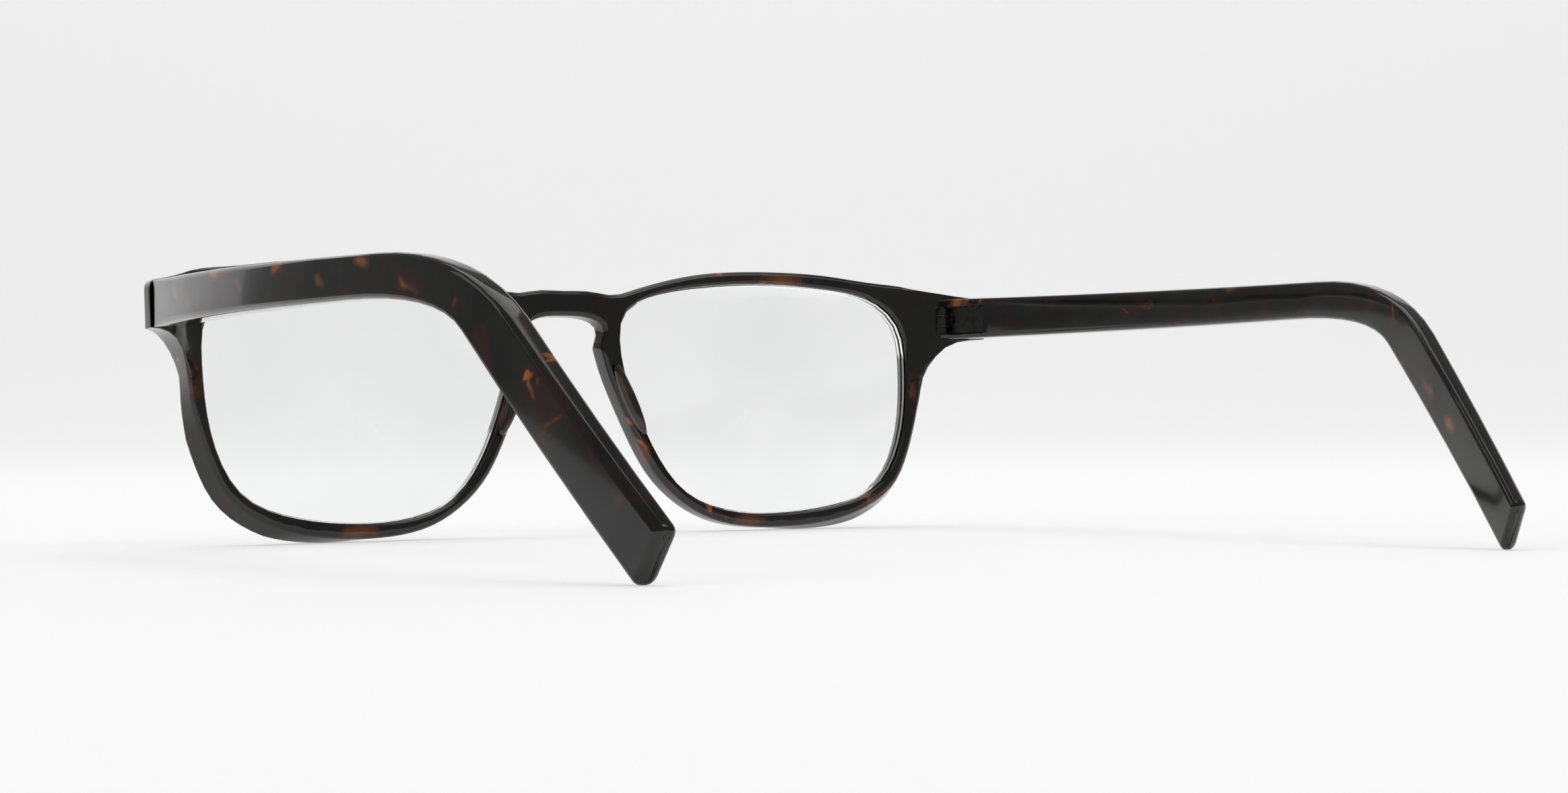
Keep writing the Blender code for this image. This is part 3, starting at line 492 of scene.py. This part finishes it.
@dataclass
class Temple:
    """One temple with its core wire."""

    side: Side
    acetate: TortoiseAcetate
    core: Metal

    def build(self, shop: Workshop) -> None:
        """Finishes the temple and the wire inside it."""
        word = self.side.word
        shop.finish(f"temple_{word}", f"polished_temple_{word}", self.acetate.material(), Edge.TUMBLED)
        shop.finish(f"core_wire_{word}", f"drawn_core_{word}", self.core.material(), Edge.TURNED)


@dataclass
class Hinge:
    """One hinge: two leaves, a screw and two washers."""

    side: Side
    steel: Metal
    nylon: NylonWasher = NylonWasher()

    def build(self, shop: Workshop) -> None:
        """Finishes the leaves, the screw and the washers."""
        word = self.side.word
        look = self.steel.material()
        for node in ("front_hinge_leaf", "temple_hinge_leaf", "hinge_screw"):
            shop.finish(f"{node}_{word}", f"plated_{node}_{word}", look, Edge.TURNED)
        soft = self.nylon.material()
        for node in ("upper_washer", "lower_washer"):
            shop.finish(f"{node}_{word}", f"moulded_{node}_{word}", soft, Edge.TURNED)


# ---------------------------------------------------------------- studio


@dataclass(frozen=True)
class Lamp:
    """A square soft lamp: its turn from the camera in degrees, place and side in metres, and watts."""

    name: str
    turn: float
    height: float
    reach: float
    size: float
    power: float


LAMPS = (
    Lamp("overhead", 180, 2.4, 0.5, 1.8, 14),
    Lamp("key", 60, 1.8, 1.4, 1.0, 5),
    Lamp("fill", -75, 1.4, 1.6, 1.0, 3),
)


@dataclass
class Studio:
    """A pale floor that sweeps up behind the eyeglasses, soft lamps and the camera."""

    paper: Colour = (0.86, 0.86, 0.86)
    floor_reach: float = 3.2
    sweep_radius: float = 0.9
    sweep_height: float = 2.4
    sweep_steps: int = 16
    floor_break: float = 0.6
    half_width: float = 4.0
    room: float = 0.24
    glow: float = 0.51
    azimuth: float = 147.51
    elevation: float = -0.785
    roll: float = -0.46
    place: tuple[float, float, float] = (0.1996, 0.3094, 0.0150)
    lens_length: float = 63.9
    sensor_width: float = 36.0

    def paper_material(self) -> bpy.types.Material:
        """Matt white background paper."""
        recipe = Recipe("background_paper")
        grain = recipe.noise(1.5 * MM, detail=2.0)
        shade = tuple(0.985 * value for value in self.paper)
        recipe.set(Base_Color=recipe.mixed(grain.fade(0.3, 0.7), self.paper, shade), Roughness=0.9)
        recipe.set(Specular_IOR_Level=0.1, Emission_Color=self.paper, Emission_Strength=self.glow)
        return recipe.material

    def sweep(self) -> None:
        """The floor, in line with the camera, curving up into a wall behind the object."""
        turn = Matrix.Rotation(math.radians(self.azimuth), 4, "Z")
        profile = [(-self.floor_reach, 0.0), (-self.floor_break, 0.0), (self.floor_break, 0.0)]
        for i in range(self.sweep_steps + 1):
            angle = math.pi / 2 * i / self.sweep_steps
            away = self.floor_reach - self.sweep_radius + self.sweep_radius * math.sin(angle)
            profile.append((away, self.sweep_radius * (1 - math.cos(angle))))
        profile.append((self.floor_reach, self.sweep_height))
        body = bmesh.new()
        rows = []
        for away, height in profile:
            ends = [turn @ Vector((side * self.half_width, away, height)) for side in (-1, 1)]
            rows.append([body.verts.new(end) for end in ends])
        for first, second in zip(rows, rows[1:]):
            body.faces.new((first[0], first[1], second[1], second[0])).smooth = True
        mesh = bpy.data.meshes.new("sweep")
        body.to_mesh(mesh)
        body.free()
        mesh.materials.append(self.paper_material())
        sheet = bpy.data.objects.new("sweep", mesh)
        bpy.context.collection.objects.link(sheet)

    def hang(self, lamp: Lamp) -> None:
        """Hangs a lamp so that it faces the middle of the floor."""
        light = bpy.data.lights.new(lamp.name, "AREA")
        light.size = lamp.size
        light.energy = lamp.power
        holder = bpy.data.objects.new(lamp.name, light)
        angle = math.radians(self.azimuth + lamp.turn)
        holder.location = Vector((math.sin(angle) * lamp.reach, -math.cos(angle) * lamp.reach, lamp.height))
        holder.rotation_mode = "QUATERNION"
        holder.rotation_quaternion = holder.location.to_track_quat("Z", "Y")
        bpy.context.collection.objects.link(holder)

    def build(self) -> None:
        """Sets up the paper, the lamps, the room's light and the camera."""
        self.sweep()
        for lamp in LAMPS:
            self.hang(lamp)
        world = bpy.data.worlds.new("room")
        world.use_nodes = True
        world.node_tree.nodes["Background"].inputs["Color"].default_value = (self.room,) * 3 + (1.0,)
        bpy.context.scene.world = world
        bpy.context.scene.view_settings.view_transform = "Standard"
        self.camera()

    def camera(self) -> None:
        """The camera, a little above the floor, behind the left temple."""
        data = bpy.data.cameras.new("camera")
        data.lens = self.lens_length
        data.sensor_width = self.sensor_width
        data.clip_start = 0.01
        view = bpy.data.objects.new("camera", data)
        around, above = math.radians(self.azimuth), math.radians(self.elevation)
        flat = math.cos(above)
        back = Vector((math.sin(around) * flat, -math.cos(around) * flat, math.sin(above)))
        level = back.to_track_quat("Z", "Y").to_matrix()
        view.rotation_mode = "QUATERNION"
        view.rotation_quaternion = (level @ Matrix.Rotation(math.radians(self.roll), 3, "Z")).to_quaternion()
        view.location = self.place
        bpy.context.collection.objects.link(view)
        bpy.context.scene.camera = view


def main() -> None:
    """Builds the eyeglasses and the studio, in order."""
    logging.basicConfig(level=logging.INFO)
    shop = Workshop()
    steel = Metal("dark_steel", (0.045, 0.044, 0.043), (0.028, 0.027, 0.026), 0.36)
    nickel = Metal("core_nickel", (0.62, 0.60, 0.56), (0.50, 0.48, 0.44), 0.28)
    Front().build(shop)
    Temple(Side.LEFT, TortoiseAcetate(name="tortoise_left", drops=LEFT_DROPS), nickel).build(shop)
    Temple(Side.RIGHT, TortoiseAcetate(name="tortoise_right", drops=RIGHT_DROPS), nickel).build(shop)
    for side in Side:
        Hinge(side, steel).build(shop)
    Studio().build()
    bpy.context.view_layer.update()


if __name__ == "__main__":
    main()
